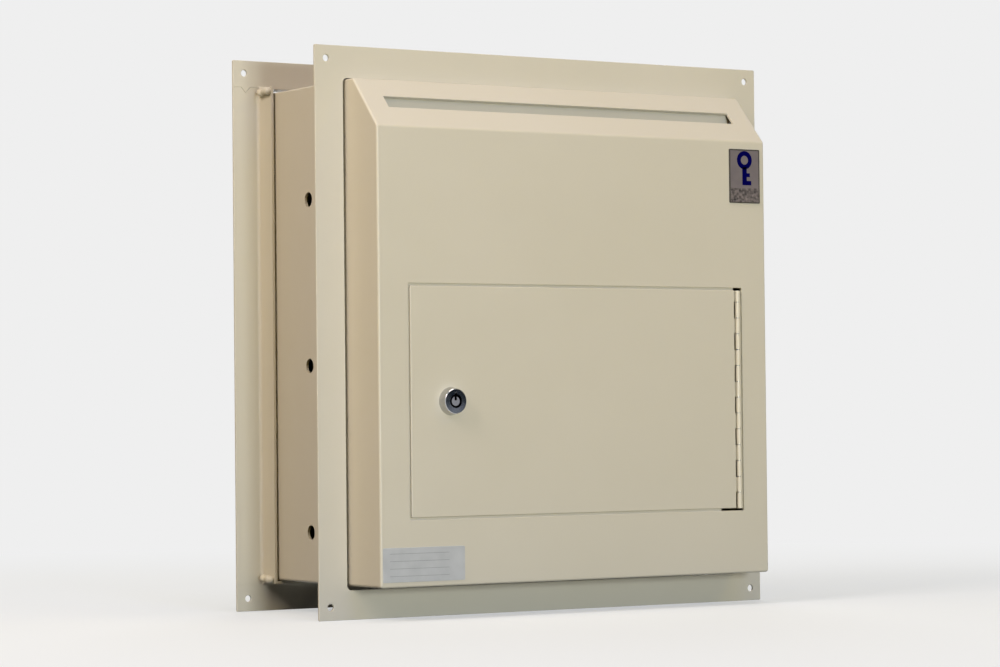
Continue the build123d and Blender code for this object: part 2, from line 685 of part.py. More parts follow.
def lock_cam():
    """Flat tongue on the plug's tail; it hangs down when the lock is open."""
    reach = cam_length - CAM_WIDTH / 2
    tongue = Pos(lock_x, lock_z - reach / 2) * Rectangle(CAM_WIDTH, reach)
    tongue += Pos(lock_x, lock_z) * Circle(CAM_WIDTH / 2)
    tongue += Pos(lock_x, lock_z - reach) * Circle(CAM_WIDTH / 2)
    tongue -= Pos(lock_x, lock_z) * Rectangle(TAIL_SQUARE, TAIL_SQUARE)
    return along_y(tongue, cam_y, cam_y + CAM_SHEET)


def cam_screw():
    """Slotted screw that holds the cam on the tail."""
    seat = cam_y + CAM_SHEET
    head_end = seat + SCREW_HEAD_HEIGHT
    screw = rod_along_y(SCREW_HEAD, lock_x, lock_z, seat, head_end)
    screw = fillet(screw.edges().sort_by(Axis.Y)[-1], SCREW_HEAD_HEIGHT / 3)
    shank = rod_along_y(SCREW_SHANK, lock_x, lock_z, seat - SCREW_LENGTH, seat)
    slot_x = (lock_x - SCREW_HEAD, lock_x + SCREW_HEAD)
    slot_z = (lock_z - SCREW_SLOT / 2, lock_z + SCREW_SLOT / 2)
    slot_y = (head_end - SCREW_SLOT, head_end + CUT_OVERRUN)
    return screw + shank - block(slot_x, slot_y, slot_z)


# Plates on the front face

def badge_plate():
    """Raised badge, left without lettering."""
    right = half_width - BADGE_FROM_RIGHT
    top = slope_bottom_z - BADGE_FROM_SLOPE
    face = rectangle((right - BADGE_WIDTH, right), (top - BADGE_HEIGHT, top), BADGE_CORNER_RADIUS)
    return along_y(face, front_y - BADGE_THICKNESS, front_y)


def data_label():
    """Thin label, left without lettering."""
    left = -half_width + LABEL_FROM_LEFT
    bottom = -half_height + LABEL_FROM_BOTTOM
    face = rectangle((left, left + LABEL_WIDTH), (bottom, bottom + LABEL_HEIGHT), LABEL_CORNER_RADIUS)
    return along_y(face, front_y - LABEL_THICKNESS, front_y)


front_place = Pos(0, front_y, 0)
rear_place = Pos(0, BOX_REACH, 0) * Rot(0, 0, 180)

os.makedirs("parts", exist_ok=True)

nodes = {
    "front_cover": front_cover(),
    "body_wrap": body_wrap(),
    "rear_panel": rear_panel(),
    "chute_back_plate": chute_back_plate(),
    "chute_front_plate": chute_front_plate(),
    "front_flange": front_flange(),
    "badge_plate": badge_plate(),
    "data_label": data_label(),
}
nodes["flange_welds"] = flange_welds(nodes["front_flange"])

ring = {
    "ring_top_rail": ring_rail(1),
    "ring_bottom_rail": ring_rail(-1),
    "ring_left_upright": ring_upright(-1),
    "ring_right_upright": ring_upright(1),
}
ring["ring_welds"] = ring_welds(list(ring.values()))
for name, shape in ring.items():
    nodes[name] = Pos(0, 0, ring_lift) * shape

fittings = {
    "door_panel": door_panel(),
    "door_pan": door_pan(),
    "door_stop": door_stop(),
    "lock_strike": lock_strike(),
    "hinge_frame_leaf": hinge_leaf(1, 0),
    "hinge_door_leaf": hinge_leaf(-1, 1),
    "hinge_pin": hinge_pin(),
    "lock_housing": lock_housing(),
    "lock_nut": lock_nut(),
    "lock_plug": lock_plug(),
    "lock_cam": lock_cam(),
    "cam_screw": cam_screw(),
}
for end, place in (("front", front_place), ("rear", rear_place)):
    for name, shape in fittings.items():
        nodes[f"{end}_{name}"] = place * shape

for name, shape in nodes.items():
    export_step(shape, f"parts/{name}.step")
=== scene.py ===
import json
import math

import bmesh
import bpy
from mathutils import Matrix, Quaternion, Vector


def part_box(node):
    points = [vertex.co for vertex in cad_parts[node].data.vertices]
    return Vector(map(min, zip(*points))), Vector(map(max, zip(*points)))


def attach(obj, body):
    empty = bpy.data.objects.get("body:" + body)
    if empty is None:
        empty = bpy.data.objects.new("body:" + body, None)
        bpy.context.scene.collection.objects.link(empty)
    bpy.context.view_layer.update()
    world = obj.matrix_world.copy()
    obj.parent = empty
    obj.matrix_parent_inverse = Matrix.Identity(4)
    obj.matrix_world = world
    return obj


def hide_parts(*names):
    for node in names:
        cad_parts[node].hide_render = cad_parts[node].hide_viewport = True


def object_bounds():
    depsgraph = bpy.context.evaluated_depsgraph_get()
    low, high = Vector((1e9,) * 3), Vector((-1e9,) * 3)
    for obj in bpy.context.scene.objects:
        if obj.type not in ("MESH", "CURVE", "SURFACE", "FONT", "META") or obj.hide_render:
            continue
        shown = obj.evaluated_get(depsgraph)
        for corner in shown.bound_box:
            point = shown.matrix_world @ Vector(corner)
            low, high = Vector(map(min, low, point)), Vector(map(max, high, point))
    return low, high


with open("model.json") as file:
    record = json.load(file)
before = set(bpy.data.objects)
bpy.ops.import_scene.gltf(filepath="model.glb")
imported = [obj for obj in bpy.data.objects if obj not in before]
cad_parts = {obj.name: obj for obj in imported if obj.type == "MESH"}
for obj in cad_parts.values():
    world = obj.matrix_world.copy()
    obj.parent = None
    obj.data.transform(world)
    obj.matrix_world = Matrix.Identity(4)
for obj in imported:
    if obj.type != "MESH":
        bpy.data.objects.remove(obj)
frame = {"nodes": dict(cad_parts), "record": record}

nodes = frame["nodes"]
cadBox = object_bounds()
print("frame loaded:", len(nodes), "CAD nodes")

mm = 0.001
noiseSpan = (0.3, 0.7)   # a noise node's values mostly lie between these


# Small tools

def linear(hexColour):   # sRGB hex to the linear colour that sockets take, by the sRGB curve
    channels = [int(hexColour[place:place + 2], 16) / 255 for place in (1, 3, 5)]
    curve = [c / 12.92 if c <= 0.04045 else ((c + 0.055) / 1.055) ** 2.4 for c in channels]
    return curve + [1.0]


def addNode(tree, kind, sockets=None, **settings):   # a socket gets a value or a node's output
    node = tree.nodes.new(kind)
    for name, value in settings.items():
        setattr(node, name, value)
    for name, value in (sockets or {}).items():
        if isinstance(value, bpy.types.NodeSocket):
            tree.links.new(value, node.inputs[name])
        else:
            node.inputs[name].default_value = value
    return node.outputs


def startMaterial(name):
    material = bpy.data.materials.new(name)
    material.use_nodes = True
    material.node_tree.nodes.clear()
    place = addNode(material.node_tree, "ShaderNodeTexCoord")["Object"]
    return material, material.node_tree, place


def turnColour(tree, measure, span, first, second):   # first colour before the span, second after
    share = addNode(tree, "ShaderNodeMapRange", {
        "Value": measure, "From Min": span[0], "From Max": span[1]})[0]
    colours = {0: share, 6: linear(first), 7: linear(second)}
    return addNode(tree, "ShaderNodeMix", colours, data_type="RGBA")[2]


def cloudColour(tree, place, look, width, detail):   # gives the clouds and their two near shades
    cloud = addNode(tree, "ShaderNodeTexNoise", {
        "Vector": place, "Scale": 1 / width, "Detail": detail}, noise_dimensions="4D")[0]
    return cloud, turnColour(tree, cloud, noiseSpan, look["colour"], look["drift"])


def fineGrain(tree, place, width, depth, detail, seed, under=None):   # bumps on what lies under
    height = addNode(tree, "ShaderNodeTexNoise", {
        "Vector": place, "W": seed, "Scale": 1 / width, "Detail": detail}, noise_dimensions="4D")[0]
    sockets = {"Height": height, "Distance": depth}
    if under:
        sockets["Normal"] = under
    return addNode(tree, "ShaderNodeBump", sockets)[0]


def closeMaterial(tree, look, gloss, sockets):   # the gloss pattern makes the roughness uneven
    rough = addNode(tree, "ShaderNodeMapRange", {
        "Value": gloss, "From Min": noiseSpan[0], "From Max": noiseSpan[1],
        "To Min": look["roughness"] - look["uneven"],
        "To Max": look["roughness"] + look["uneven"]})[0]
    shader = addNode(tree, "ShaderNodeBsdfPrincipled", {**sockets, "Roughness": rough})[0]
    addNode(tree, "ShaderNodeOutputMaterial", {"Surface": shader})


# Finishes

def powderCoat(name, look):   # polyester powder on steel: satin, even, with a fine orange peel
    material, tree, place = startMaterial(name)
    colour = cloudColour(tree, place, look, look["mottleWidth"], detail=3.0)[1]
    gloss = addNode(tree, "ShaderNodeTexNoise", {
        "Vector": place, "W": 5.0, "Scale": 1 / look["glossWidth"], "Detail": 2.0},
        noise_dimensions="4D")[0]
    peel = fineGrain(tree, place, look["peelWidth"], look["peelDepth"], detail=1.0, seed=0.0)
    grain = fineGrain(tree, place, look["grainWidth"], look["grainDepth"],
                      detail=2.0, seed=3.0, under=peel)
    closeMaterial(tree, look, gloss, {"IOR": look["ior"], "Base Color": colour, "Normal": grain})
    return material


creamLook = {
    "colour": "#C5BFB1",
    "drift": "#C3BDAE",
    "roughness": 0.44,
    "uneven": 0.05,
    "ior": 1.5,
    "mottleWidth": 90 * mm,
    "glossWidth": 22.5 * mm,
    "peelWidth": 2.6 * mm,      # drawn about twice as coarse as real orange peel, so that it shows
    "peelDepth": 0.03 * mm,
    "grainWidth": 0.7 * mm,
    "grainDepth": 0.006 * mm,
}
creamCoat = powderCoat("creamPowderCoat", creamLook)
beadCoat = powderCoat("creamPowderCoatOnWeld", {   # a little glossier, and lumpy as the bead is
    **creamLook, "roughness": 0.38, "peelDepth": 0.05 * mm})
litHingeCoat = powderCoat("creamPowderCoatLitOnHinge", {   # the thin leaves get a lighter copy of the cream, a painted highlight for the light their rounded knuckles catch
    **creamLook, "colour": "#CDC7B6", "drift": "#C9C2B0"})


lockFace = {
    "radius": 10 * mm,          # over which the face is crowned
    "paintedKeywayShade": "#0C0C0E",         # painted shade: near black, darkens the deep keyway where shade falls
    "keywayShadeRadius": 5.9 * mm,
    "keywayShadeFrom": 0.8 * mm,      # depth behind the face at which it starts
    "keywayShadeTo": 5.0 * mm,
    "keywayShadeSoft": 0.4 * mm,      # width of its soft edges
    "ringWaver": 0.4,           # how far the turned marks wander from true circles
}
ringScale = math.pi / 10        # the wave node's rings are this far apart at a scale of 1
frontLockCentre = sum(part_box("front_lock_housing"), Vector()) / 2


def lockSpace(tree, place):   # offset and distance from the nearer lock's axis, and from its face
    mirrored = addNode(tree, "ShaderNodeVectorMath", {0: place}, operation="ABSOLUTE")[0]
    centre = (abs(frontLockCentre.x), 0, abs(frontLockCentre.z))   # both locks are mirrored here
    offset = addNode(tree, "ShaderNodeVectorMath", {
        0: mirrored, 1: centre}, operation="SUBTRACT")[0]
    flat = addNode(tree, "ShaderNodeVectorMath", {   # with its part along the axis left out
        0: offset, 1: (1, 0, 1)}, operation="MULTIPLY")[0]
    radius = addNode(tree, "ShaderNodeVectorMath", {0: flat}, operation="LENGTH")["Value"]
    along = addNode(tree, "ShaderNodeSeparateXYZ", {"Vector": place})["Y"]
    gaps = []
    for face in (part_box("front_lock_housing")[0].y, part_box("rear_lock_housing")[1].y):
        away = addNode(tree, "ShaderNodeMath", {0: along, 1: face}, operation="SUBTRACT")[0]
        gaps.append(addNode(tree, "ShaderNodeMath", {0: away}, operation="ABSOLUTE")[0])
    depth = addNode(tree, "ShaderNodeMath", {0: gaps[0], 1: gaps[1]}, operation="MINIMUM")[0]
    return offset, radius, depth


def paintedKeywayShade(tree, colour, radius, depth):   # painted shade: darkens the metal inside the deep keyway
    limits = (
        (radius, "keywayShadeRadius", 1.0, 0.0),
        (depth, "keywayShadeFrom", 0.0, 1.0),
        (depth, "keywayShadeTo", 1.0, 0.0),
    )
    share = 1.0
    for measure, limit, before, after in limits:
        edge = lockFace[limit]
        step = addNode(tree, "ShaderNodeMapRange", {
            "Value": measure, "From Min": edge, "From Max": edge + lockFace["keywayShadeSoft"],
            "To Min": before, "To Max": after})[0]
        share = addNode(tree, "ShaderNodeMath", {0: share, 1: step}, operation="MULTIPLY")[0]
    colours = {0: share, 6: colour, 7: linear(lockFace["paintedKeywayShade"])}
    return addNode(tree, "ShaderNodeMix", colours, data_type="RGBA")[2]


def turnedFace(tree, place, look, colour):   # turned rings on a slightly crowned face, with painted shade inside the keyway
    offset, radius, depth = lockSpace(tree, place)
    rings = addNode(tree, "ShaderNodeTexWave", {
        "Vector": offset, "Scale": ringScale / look["turnedPitch"],
        "Distortion": lockFace["ringWaver"], "Detail": 1.0},
        wave_type="RINGS", rings_direction="Y")["Fac"]
    dome = addNode(tree, "ShaderNodeMapRange", {
        "Value": radius, "From Min": 0.0, "From Max": lockFace["radius"],
        "To Min": 1.0, "To Max": 0.0})[0]
    crown = addNode(tree, "ShaderNodeBump", {
        "Height": dome, "Distance": look["crown"]})[0]
    marks = addNode(tree, "ShaderNodeBump", {
        "Height": rings, "Distance": look["grainDepth"], "Normal": crown})[0]
    return paintedKeywayShade(tree, colour, radius, depth), marks


def metal(name, look):   # bare or plated metal: faintly clouded, either turned or finely grained
    material, tree, place = startMaterial(name)
    cloud, colour = cloudColour(tree, place, look, look["cloudWidth"], detail=3.0)
    if "turnedPitch" in look:
        colour, grain = turnedFace(tree, place, look, colour)
    else:
        grain = fineGrain(tree, place, look["grainWidth"], look["grainDepth"],
                          detail=2.0, seed=2.0)
    closeMaterial(tree, look, cloud, {"Metallic": 1.0, "Base Color": colour, "Normal": grain})
    return material


# The turned marks and the grain are drawn several times as coarse as real ones, so that they show
chrome = metal("brightNickelPlate", {   # polished plate over a turned brass body: mirrors the room
    "colour": "#C4C4C3", "drift": "#B2B3B8", "roughness": 0.15, "uneven": 0.03,
    "cloudWidth": 6 * mm, "turnedPitch": 0.5 * mm, "grainDepth": 0.0012 * mm, "crown": 0.45 * mm,
})
plugSteel = metal("turnedSteelPlug", {   # machined bar, a little duller than the plate round it
    "colour": "#AAAAB0", "drift": "#9C9CA2", "roughness": 0.36, "uneven": 0.06,
    "cloudWidth": 3 * mm, "turnedPitch": 0.4 * mm, "grainDepth": 0.004 * mm, "crown": 0.1 * mm,
})
zinc = metal("brightZincPlate", {   # clear passivated zinc: grey, slightly blotched
    "colour": "#B9BBBB", "drift": "#A6A694", "roughness": 0.36, "uneven": 0.08,
    "cloudWidth": 5 * mm, "grainWidth": 0.6 * mm, "grainDepth": 0.004 * mm,
})
wire = metal("drawnSteelWire", {   # cold drawn and bare: mid grey with a soft shine
    "colour": "#A8A8A4", "drift": "#96968F", "roughness": 0.34, "uneven": 0.06,
    "cloudWidth": 4 * mm, "grainWidth": 0.5 * mm, "grainDepth": 0.003 * mm,
})


printedLook = {   # what the printed finishes share, unless their own look says otherwise
    "uneven": 0.06,
    "ior": 1.5,
    "strokes": (0.04, 1, 1),    # stretches the brushed grain along X; coarse, so that it shows
}


def printedPlate(name, ownLook):   # ink, enamel or film on a flat sheet: even colour, faint strokes
    look = {**printedLook, **ownLook}
    material, tree, place = startMaterial(name)
    colour = cloudColour(tree, place, look, look["cloudWidth"], detail=2.0)[1]
    stretched = addNode(tree, "ShaderNodeMapping", {"Vector": place, "Scale": look["strokes"]})[0]
    brushed = addNode(tree, "ShaderNodeTexNoise", {
        "Vector": stretched, "W": 7.0, "Scale": 1 / look["grainWidth"], "Detail": 2.0},
        noise_dimensions="4D")[0]
    strokes = addNode(tree, "ShaderNodeBump", {
        "Height": brushed, "Distance": look["grainDepth"]})[0]
    closeMaterial(tree, look, brushed, {
        "Metallic": look["metallic"], "IOR": look["ior"], "Base Color": colour, "Normal": strokes})
    return material


badgeDark = printedPlate("badgeBlackInk", {   # baked black ink: dull and slightly brown
    "colour": "#3A362E", "drift": "#332F2A", "roughness": 0.4, "metallic": 0.2,
    "cloudWidth": 6 * mm, "grainWidth": 0.4 * mm, "grainDepth": 0.002 * mm,
})
badgeSilver = printedPlate("badgeBrushedAluminium", {   # anodised and brushed: grey, streaky shine
    "colour": "#746B6B", "drift": "#6C6465", "roughness": 0.36, "metallic": 0.4,
    "cloudWidth": 8 * mm, "grainWidth": 0.3 * mm, "grainDepth": 0.003 * mm,
})
badgeNavy = printedPlate("badgeNavyEnamel", {   # matt enamel: a deep blue with hardly any shine
    "colour": "#01014E", "drift": "#010144", "roughness": 0.3, "metallic": 0.0, "ior": 1.08,
    "cloudWidth": 5 * mm, "grainWidth": 0.5 * mm, "grainDepth": 0.001 * mm,
})
badgeGrey = printedPlate("badgeGreyInk", {   # worn ink: grey and black in small patches
    "colour": "#7C7270", "drift": "#1C1818", "roughness": 0.42, "metallic": 0.2,
    "cloudWidth": 2.4 * mm, "grainWidth": 0.4 * mm, "grainDepth": 0.002 * mm,
})
labelFilm = printedPlate("labelSilverPolyester", {   # metallised film: pale grey, dull shine
    "colour": "#BABCBF", "drift": "#B0B2B5", "roughness": 0.34, "metallic": 0.25,
    "cloudWidth": 12 * mm, "grainWidth": 0.5 * mm, "grainDepth": 0.002 * mm,
})
labelInk = printedPlate("labelGreyInk", {   # thin ink: matt, hardly darker than the film
    "colour": "#8E9094", "drift": "#84868B", "roughness": 0.45, "metallic": 0.0,
    "cloudWidth": 8 * mm, "grainWidth": 0.5 * mm, "grainDepth": 0.001 * mm,
})

finishOfSlot = {
    "powder_coat": creamCoat,
    "hinge_coat": litHingeCoat,
    "hinge_pin_steel": wire,
    "lock_chrome": chrome,
    "plug_steel": plugSteel,
    "zinc_steel": zinc,
    "badge_metal": badgeDark,
    "label_foil": labelFilm,
}
for part in frame["record"]["subparts"]:
    node = nodes[part["node"]]
    node.data.materials.clear()
    node.data.materials.append(finishOfSlot[part["material_slot"]])
print("finishes made:", len(bpy.data.materials))


# Pieces that stand for CAD nodes or add to them

def showMesh(name, mesh):
    piece = bpy.data.objects.new(name, mesh)
    bpy.context.scene.collection.objects.link(piece)
    return piece


def settle(piece, body):
    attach(piece, body)
    return piece


def newTree(name, sizes):   # a Geometry Nodes tree with one named input for each size
    tree = bpy.data.node_groups.new(name, "GeometryNodeTree")
    tree.interface.new_socket("Geometry", in_out="OUTPUT", socket_type="NodeSocketGeometry")
    kinds = {type(None): "NodeSocketGeometry", int: "NodeSocketInt", float: "NodeSocketFloat"}
    for label, value in {"Guide": None, **sizes}.items():
        tree.interface.new_socket(label, in_out="INPUT", socket_type=kinds[type(value)])
    return tree, addNode(tree, "NodeGroupInput")


def endTree(tree, geometry, material):
    realised = addNode(tree, "GeometryNodeRealizeInstances", {"Geometry": geometry})[0]
    painted = addNode(tree, "GeometryNodeSetMaterial", {
        "Geometry": realised, "Material": material})[0]
    addNode(tree, "NodeGroupOutput", {"Geometry": painted})


def growPiece(name, tree, sizes, guidePoints, guideEdges=()):   # runs the tree on a guide mesh
    guide = bpy.data.meshes.new(name + "Guide")
    guide.from_pydata(guidePoints, list(guideEdges), [])
    maker = showMesh(name + "Maker", guide)
    modifier = maker.modifiers.new("grow", "NODES")
    modifier.node_group = tree
    for item in tree.interface.items_tree:
        if item.in_out == "INPUT" and item.name in sizes:
            modifier[item.identifier] = sizes[item.name]
    graph = bpy.context.evaluated_depsgraph_get()
    grown = bpy.data.meshes.new_from_object(maker.evaluated_get(graph), depsgraph=graph)
    maker.modifiers.clear()
    bpy.data.objects.remove(maker)
    return showMesh(name, grown)


# Weld beads: along each seam a chain of overlapping blobs, melted into one closed lump

ringWeld = {   # lumpy hand-laid beads on the four corners of the ring's collar
    "Radius": 3.4 * mm,
    "Smallest": 0.8,            # size of the smallest blob, as a share of the largest
    "Ripple": 2.6 * mm,         # from blob to blob
    "Wander": 0.55 * mm,
    "Voxel": 0.35 * mm,
    "Seed": 4,
}
flangeWeld = {   # even stitch beads that hold the flange's collar to the box
    "Radius": 3.0 * mm,
    "Smallest": 0.88,
    "Ripple": 1.7 * mm,
    "Wander": 0.25 * mm,
    "Voxel": 0.45 * mm,
    "Seed": 9,
}
weldSkin = {   # how both kinds of bead are melted and placed
    "subdivisions": 3,          # of each blob
    "band": 1.0 * mm,           # thickness of the melted volume
    "threshold": 0.1,
    "endShare": 0.8,            # the chain stops this share of a radius before the seam's end
    "merge": 0.01 * mm,         # vertices of the CAD node nearer than this are one
}


def weldTree(name, sizes, material):
    tree, given = newTree(name, sizes)
    seam = addNode(tree, "GeometryNodeMeshToCurve", {"Mesh": given["Guide"]})[0]
    drops = addNode(tree, "GeometryNodeCurveToPoints", {
        "Curve": seam, "Length": given["Ripple"]}, mode="LENGTH")[0]
    order = addNode(tree, "GeometryNodeInputIndex")[0]
    wander = addNode(tree, "FunctionNodeRandomValue", {
        0: (-1, -1, -1), 1: (1, 1, 1), "ID": order, "Seed": given["Seed"]},
        data_type="FLOAT_VECTOR")[0]
    shift = addNode(tree, "ShaderNodeVectorMath", {
        0: wander, "Scale": given["Wander"]}, operation="SCALE")[0]
    moved = addNode(tree, "GeometryNodeSetPosition", {"Geometry": drops, "Offset": shift})[0]
    blob = addNode(tree, "GeometryNodeMeshIcoSphere", {
        "Subdivisions": weldSkin["subdivisions"], "Radius": given["Radius"]})[0]
    nextSeed = addNode(tree, "ShaderNodeMath", {0: given["Seed"], 1: 1.0}, operation="ADD")[0]
    growth = addNode(tree, "FunctionNodeRandomValue", {
        2: given["Smallest"], 3: 1.0, "ID": order, "Seed": nextSeed}, data_type="FLOAT")[1]
    chain = addNode(tree, "GeometryNodeInstanceOnPoints", {
        "Points": moved, "Instance": blob, "Scale": growth})[0]
    loose = addNode(tree, "GeometryNodeRealizeInstances", {"Geometry": chain})[0]
    melt = addNode(tree, "GeometryNodeMeshToVolume", {
        "Mesh": loose, "Voxel Size": given["Voxel"], "Density": 1.0,
        "Interior Band Width": weldSkin["band"]}, resolution_mode="VOXEL_SIZE")[0]
    skin = addNode(tree, "GeometryNodeVolumeToMesh", {
        "Volume": melt, "Voxel Size": given["Voxel"], "Threshold": weldSkin["threshold"]},
        resolution_mode="VOXEL_SIZE")[0]
    smooth = addNode(tree, "GeometryNodeSetShadeSmooth", {"Geometry": skin})[0]
    endTree(tree, smooth, material)
    return tree


def seamEnds(solidNode, trim):   # the two ends of each bead in a CAD node, along its longest side
    merged = bmesh.new()
    merged.from_mesh(nodes[solidNode].data)
    bmesh.ops.remove_doubles(merged, verts=merged.verts, dist=weldSkin["merge"])
    unseen = set(merged.verts)
    points, edges = [], []
    while unseen:
        island, rim = set(), [min(unseen, key=lambda vertex: vertex.index)]
        while rim:
            vertex = rim.pop()
            if vertex in unseen:
                unseen.discard(vertex)
                island.add(vertex)
                rim += [edge.other_vert(vertex) for edge in vertex.link_edges]
        low = Vector([min(vertex.co[axis] for vertex in island) for axis in range(3)])
        high = Vector([max(vertex.co[axis] for vertex in island) for axis in range(3)])
        longest = max(range(3), key=lambda axis: high[axis] - low[axis])
        start, finish = (low + high) / 2, (low + high) / 2
        start[longest], finish[longest] = low[longest] + trim, high[longest] - trim
        edges.append((len(points), len(points) + 1))
        points += [start, finish]
    merged.free()
    return points, edges


def makeWelds(name, node, sizes, body):
    points, edges = seamEnds(node, weldSkin["endShare"] * sizes["Radius"])
    tree = weldTree(name + "Tree", sizes, beadCoat)
    piece = settle(growPiece(name, tree, sizes, points, edges), body)
    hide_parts(node)


makeWelds("ringCornerWelds", "ring_welds", ringWeld, "wall_ring")
makeWelds("flangeStitchWelds", "flange_welds", flangeWeld, "box")
print("weld beads made")


# Lock pins: the ends of the pins that show in the ring-shaped keyway

lockPins = {
    "Count": 7,
    "Circle": 4.35 * mm,        # radius of the circle of pins
    "Pin": 0.6 * mm,            # radius of one pin
    "Tip": 0.45 * mm,           # radius at its outer end
    "Length": 2.4 * mm,
    "Facing": math.pi / 2,      # turns the pins to the street, or with a minus sign to the room
    "Depth": 4.3 * mm,          # from the lock's face to the feet of the pins
}
pinSides = 16   # facets of one pin


def pinTree(sizes, material):
    tree, given = newTree("lockPinTree", sizes)
    turn = addNode(tree, "ShaderNodeCombineXYZ", {"X": given["Facing"]})[0]
    pin = addNode(tree, "GeometryNodeMeshCone", {
        "Vertices": pinSides, "Radius Bottom": given["Pin"], "Radius Top": given["Tip"],
        "Depth": given["Length"]})[0]
    circle = addNode(tree, "GeometryNodeMeshCircle", {
        "Vertices": given["Count"], "Radius": given["Circle"]})[0]
    cluster = addNode(tree, "GeometryNodeInstanceOnPoints", {"Points": circle, "Instance": pin})[0]
    laid = addNode(tree, "GeometryNodeTransform", {"Geometry": cluster, "Rotation": turn})[0]
    placed = addNode(tree, "GeometryNodeInstanceOnPoints", {
        "Points": given["Guide"], "Instance": laid})[0]
    endTree(tree, placed, material)
    return tree


def makePins(look):
    tree = pinTree(look, plugSteel)
    for end, side in (("front", 1), ("rear", -1)):
        low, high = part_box(end + "_lock_housing")
        face = low.y if side > 0 else high.y
        foot = Vector(((low.x + high.x) / 2, face + side * look["Depth"], (low.z + high.z) / 2))
        sizes = {**look, "Facing": side * look["Facing"]}
        pins = growPiece(end + "LockPins", tree, sizes, [foot])
        settle(pins, end + "_lock")


makePins(lockPins)
print("lock pins made")


# Badge and label on the front face: lofted from rounded outlines, and left without lettering

outline = {
    "cornerSteps": 5,
    "circleSteps": 40,
    "leastBend": 0.05 * mm,     # radius of the corners that are inset by more than their own radius
    "sharpAngle": 35,           # degrees; corners sharper than this stay crisp
}


def roundedOutline(low, high, inset, radius, y):
    bend = max(radius - inset, outline["leastBend"])
    steps = outline["cornerSteps"]
    points = []
    for quarter, (sideX, sideZ) in enumerate(((1, 1), (-1, 1), (-1, -1), (1, -1))):
        x = (high.x if sideX > 0 else low.x) - sideX * (inset + bend)
        z = (high.z if sideZ > 0 else low.z) - sideZ * (inset + bend)
        for step in range(steps + 1):
            angle = math.pi / 2 * (quarter + step / steps)
            points.append(Vector((x + bend * math.cos(angle), y, z + bend * math.sin(angle))))
    return points


def circleOutline(centre, radius, y):
    steps = outline["circleSteps"]
    angles = [2 * math.pi * step / steps for step in range(steps)]
    return [Vector((centre.x + radius * math.cos(angle), y, centre.z + radius * math.sin(angle)))
            for angle in angles]


def loft(shell, rings, hollow):   # skins between outlines; a hollow one closes on its first
    loops = [[shell.verts.new(point) for point in ring] for ring in rings]
    pairs = list(zip(loops, loops[1:] + loops[:1]))
    for near, far in pairs if hollow else pairs[:-1]:
        for index, vertex in enumerate(near):
            after = (index + 1) % len(near)
            shell.faces.new((vertex, near[after], far[after], far[index]))
    if not hollow:
        shell.faces.new(loops[0])
        shell.faces.new(loops[-1][::-1])


def loftedPiece(name, lofts, material):
    shell = bmesh.new()
    for rings, hollow in lofts:
        loft(shell, rings, hollow)
    bmesh.ops.recalc_face_normals(shell, faces=shell.faces)
    mesh = bpy.data.meshes.new(name)
    shell.to_mesh(mesh)
    shell.free()
    mesh.materials.append(material)
    mesh.shade_smooth()
    mesh.set_sharp_from_angle(angle=math.radians(outline["sharpAngle"]))
    return showMesh(name, mesh)


badge = {
    "rim": 1.0 * mm,            # width of the raised rim
    "bevel": 0.25 * mm,
    "corner": 0.8 * mm,
    "fieldDepth": 0.35 * mm,    # field, behind the top of the rim
    "print": 0.06 * mm,         # height of the enamel on the field
    "bandShare": 0.28,          # share of the height that the lower band takes
    "bow": 7.4 * mm,            # outer radius of the key sign's ring
    "bowHole": 3.6 * mm,
    "shaft": 2.2 * mm,          # half its width
    "keyLength": 27.5 * mm,
    "tooth": 4.4 * mm,          # length of the lower tooth
    "upperTooth": 0.7,          # length of the upper one, as a share of that
    "toothEdges": (1.6, 3, 4.4),    # lower tooth's top, upper one's foot and top, in half shafts
}


def makeBadge(look):
    low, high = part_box("badge_plate")
    front, back = low.y, high.y
    field = front + look["fieldDepth"]
    rim, bevel, corner = look["rim"], look["bevel"], look["corner"]
    rimSteps = [(0, back), (0, front + bevel), (bevel, front),
                (rim - bevel, front), (rim, front + bevel), (rim, back)]
    rimRings = [roundedOutline(low, high, inset, corner, y) for inset, y in rimSteps]
    rimPiece = settle(loftedPiece("badgeRim", [(rimRings, True)], badgeDark), "box")
    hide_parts("badge_plate")
    plate = [roundedOutline(low, high, rim, corner, y) for y in (back, field)]
    settle(loftedPiece("badgeField", [(plate, False)], badgeSilver), "box")
    bandTop = Vector((high.x, high.y, low.z + look["bandShare"] * (high.z - low.z) + rim))
    band = [roundedOutline(low, bandTop, rim, corner, y) for y in (field, field - look["print"])]
    settle(loftedPiece("badgeBand", [(band, False)], badgeGrey), "box")
    makeKeySign(look, Vector(((low.x + high.x) / 2, field, (bandTop.z + high.z) / 2)))


def makeKeySign(look, centre):   # a plain key, upright, in flat enamel
    back, front = centre.y, centre.y - look["print"]
    outer, hole = look["bow"], look["bowHole"]
    bowMiddle = centre + Vector((0, 0, look["keyLength"] / 2 - outer))
    bow = [circleOutline(bowMiddle, radius, y)
           for radius, y in ((outer, back), (outer, front), (hole, front), (hole, back))]
    half, foot = look["shaft"], -look["keyLength"] / 2
    top = bowMiddle.z - (outer + hole) / 2 - centre.z
    reach, shortReach = half + look["tooth"], half + look["tooth"] * look["upperTooth"]
    lowerTop, upperFoot, upperTop = [foot + half * count for count in look["toothEdges"]]
    bit = [(-half, top), (-half, foot), (reach, foot), (reach, lowerTop), (half, lowerTop),
           (half, upperFoot), (shortReach, upperFoot), (shortReach, upperTop), (half, upperTop),
           (half, top)]
    shaft = [[Vector((centre.x + x, y, centre.z + z)) for x, z in bit] for y in (back, front)]
    sign = loftedPiece("badgeKeySign", [(bow, True), (shaft, False)], badgeNavy)
    settle(sign, "box")


makeBadge(badge)

